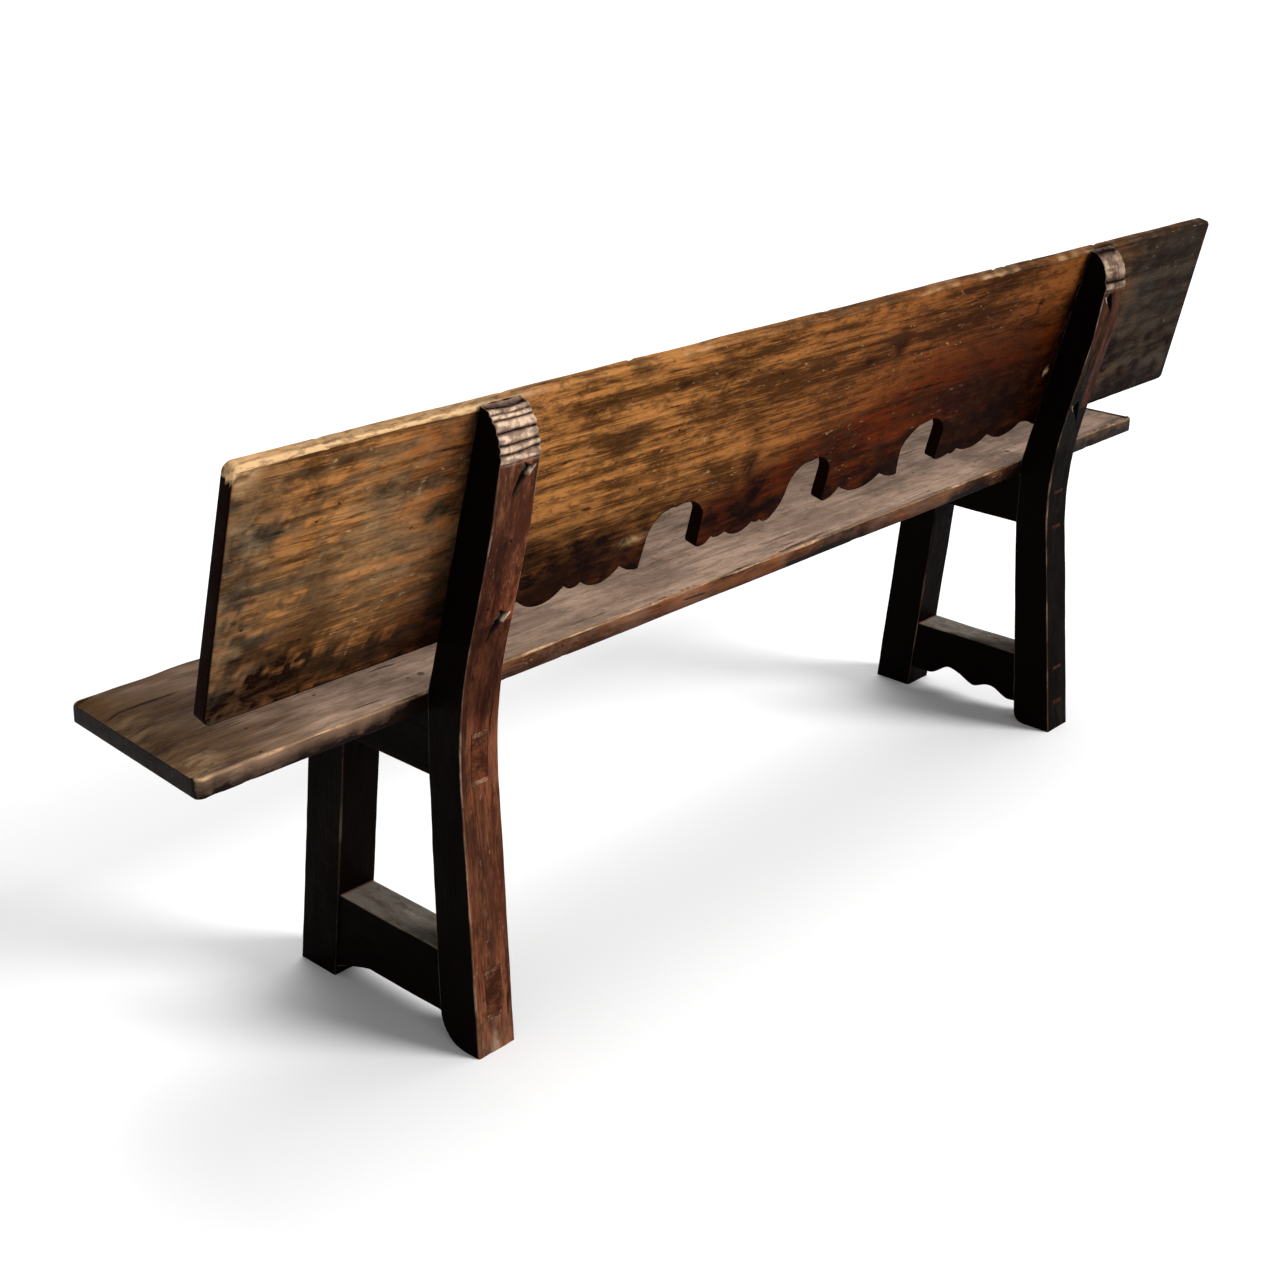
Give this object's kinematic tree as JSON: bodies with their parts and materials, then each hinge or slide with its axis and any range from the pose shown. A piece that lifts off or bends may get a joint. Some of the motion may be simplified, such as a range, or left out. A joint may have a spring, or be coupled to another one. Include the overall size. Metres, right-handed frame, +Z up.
{
  "type": "plank bench",
  "caption": "Joined wooden bench: a long seat plank and a sloping back plank with a carved lower edge, on trestles with curved rear posts and wedged through tenons.",
  "frame": {"origin": "on the floor, under the middle of the bench's overall box", "axes": "+X along the bench towards the sitter's left, +Y towards the rear (the sitter faces -Y), +Z up"},
  "size_m": [2.1192, 0.4046, 0.8449],
  "materials": {
    "seat_wood": "worn smooth, waxed and greyed on top, orange-brown on the edges",
    "back_wood": "old waxed amber-brown wood with dark stains and pale scratches",
    "trestle_wood": "dark red-brown waxed wood, worn paler on the arrises and feet",
    "wedge_wood": "end grain, a little paler than the posts",
    "nail_iron": "dark forged iron"
  },
  "bodies": {
    "root": {"back_plank": "back_wood", "left_back_nails": "nail_iron", "left_bearer_front_wedges": "wedge_wood", "left_bearer_rear_wedges": "wedge_wood", "left_front_leg": "trestle_wood", "left_rear_post": "trestle_wood", "left_seat_bearer": "trestle_wood", "left_seat_nails": "nail_iron", "left_stretcher": "trestle_wood", "left_stretcher_front_wedges": "wedge_wood", "left_stretcher_rear_wedges": "wedge_wood", "right_back_nails": "nail_iron", "right_bearer_front_wedges": "wedge_wood", "right_bearer_rear_wedges": "wedge_wood", "right_front_leg": "trestle_wood", "right_rear_post": "trestle_wood", "right_seat_bearer": "trestle_wood", "right_seat_nails": "nail_iron", "right_stretcher": "trestle_wood", "right_stretcher_front_wedges": "wedge_wood", "right_stretcher_rear_wedges": "wedge_wood", "seat_plank": "seat_wood"}
  },
  "joints": []
}
